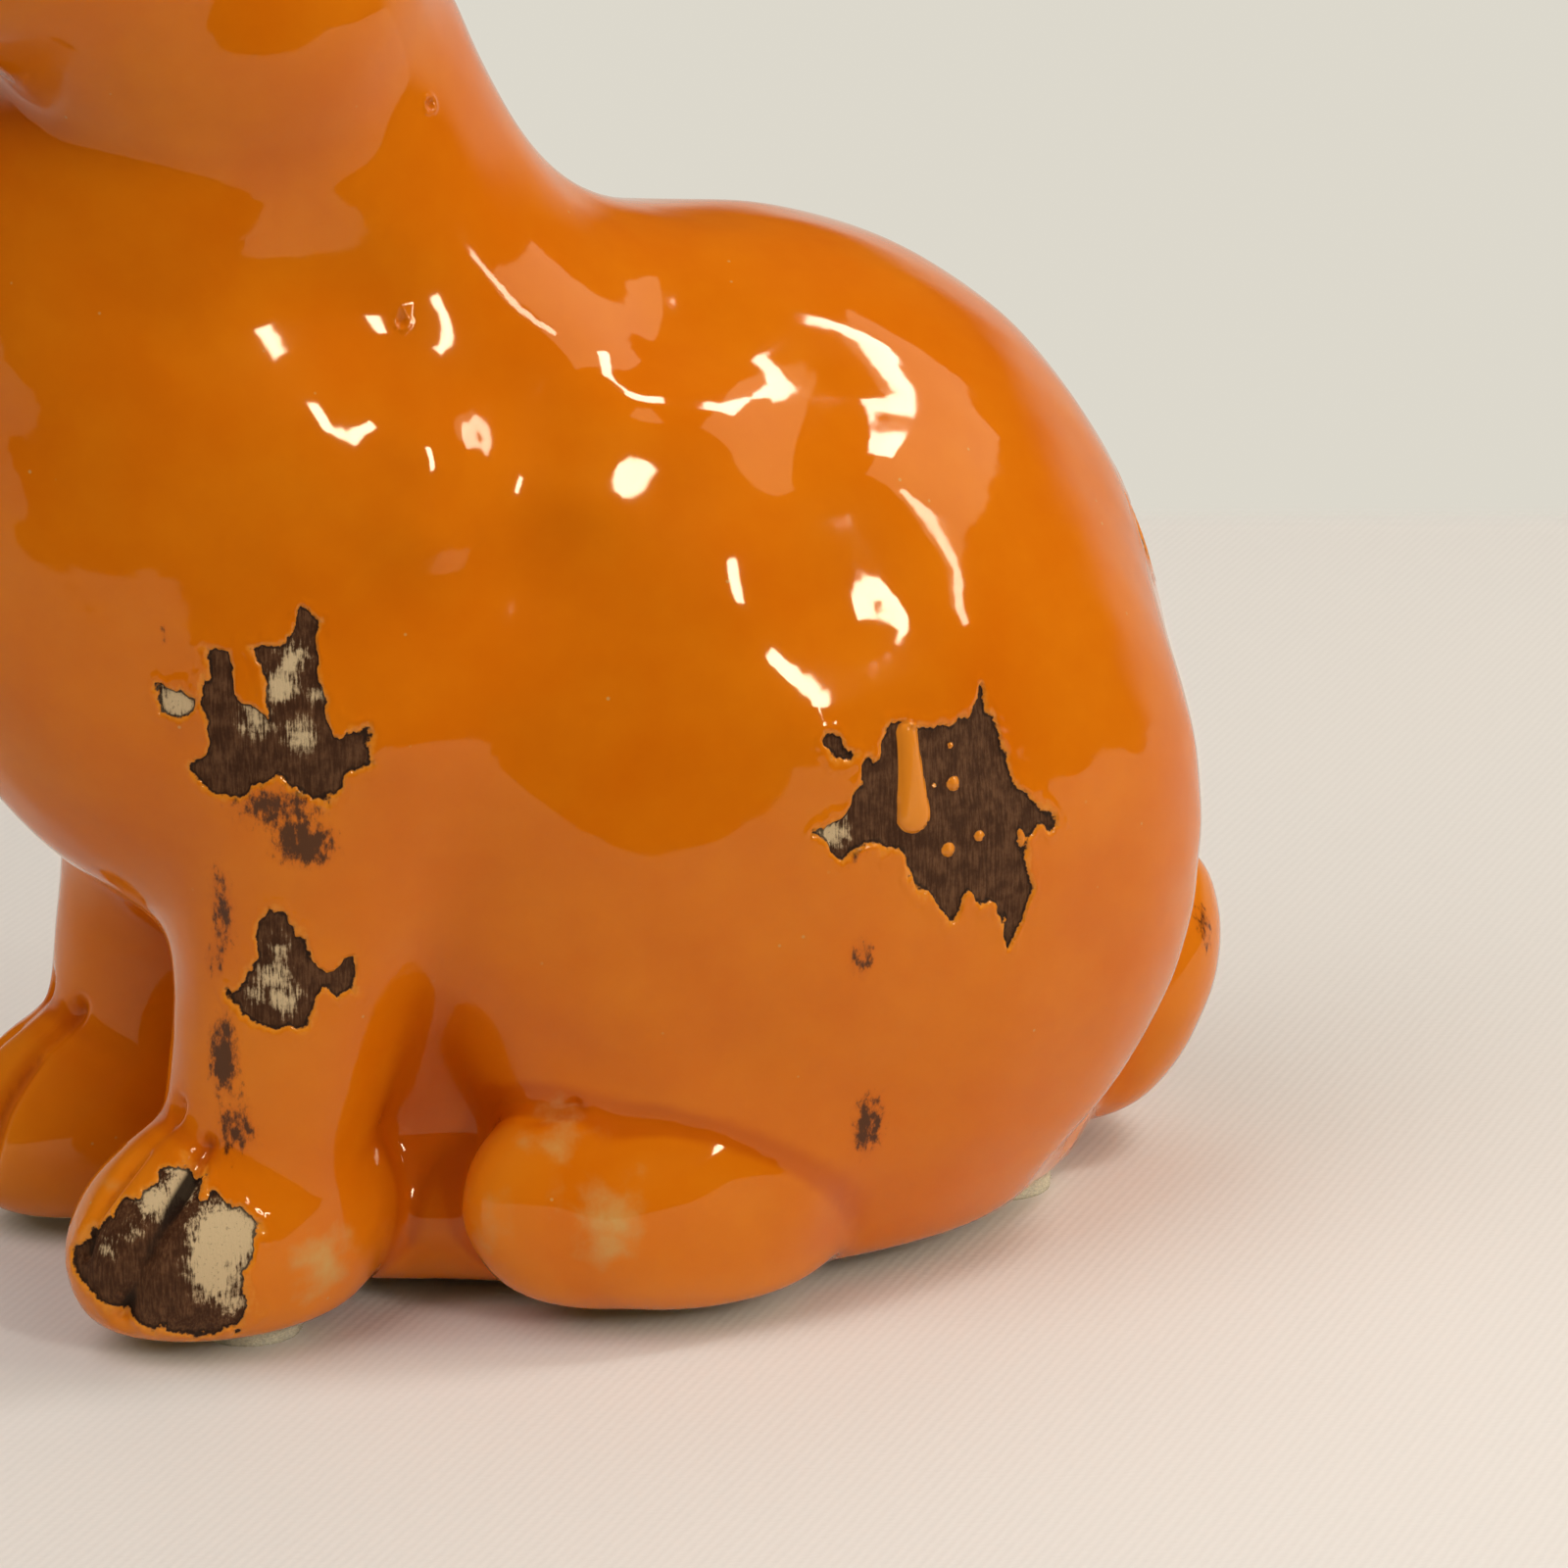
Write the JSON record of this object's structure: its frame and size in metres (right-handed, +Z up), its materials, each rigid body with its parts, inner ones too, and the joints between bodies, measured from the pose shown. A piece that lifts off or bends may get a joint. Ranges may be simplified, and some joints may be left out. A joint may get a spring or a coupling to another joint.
{
  "type": "ceramic rabbit figure",
  "caption": "Hollow glazed ceramic rabbit sitting upright, standing on small felt pads, as an ornament for a shelf or table.",
  "frame": {"origin": "middle of the figure's box seen from above, on the surface that it stands on", "axes": "+Z up, the rabbit looks along -Y, its left side is on +X"},
  "size_m": [0.06, 0.107, 0.1622],
  "materials": {
    "orange_glaze": "high gloss orange glaze, chipped and antiqued in places down to a brown and cream body",
    "felt": "matt cream felt"
  },
  "bodies": {
    "root": {"ceramic_body": "orange_glaze", "felt_pad_front_left": "felt", "felt_pad_front_right": "felt", "felt_pad_rear_left": "felt", "felt_pad_rear_right": "felt"}
  },
  "joints": []
}
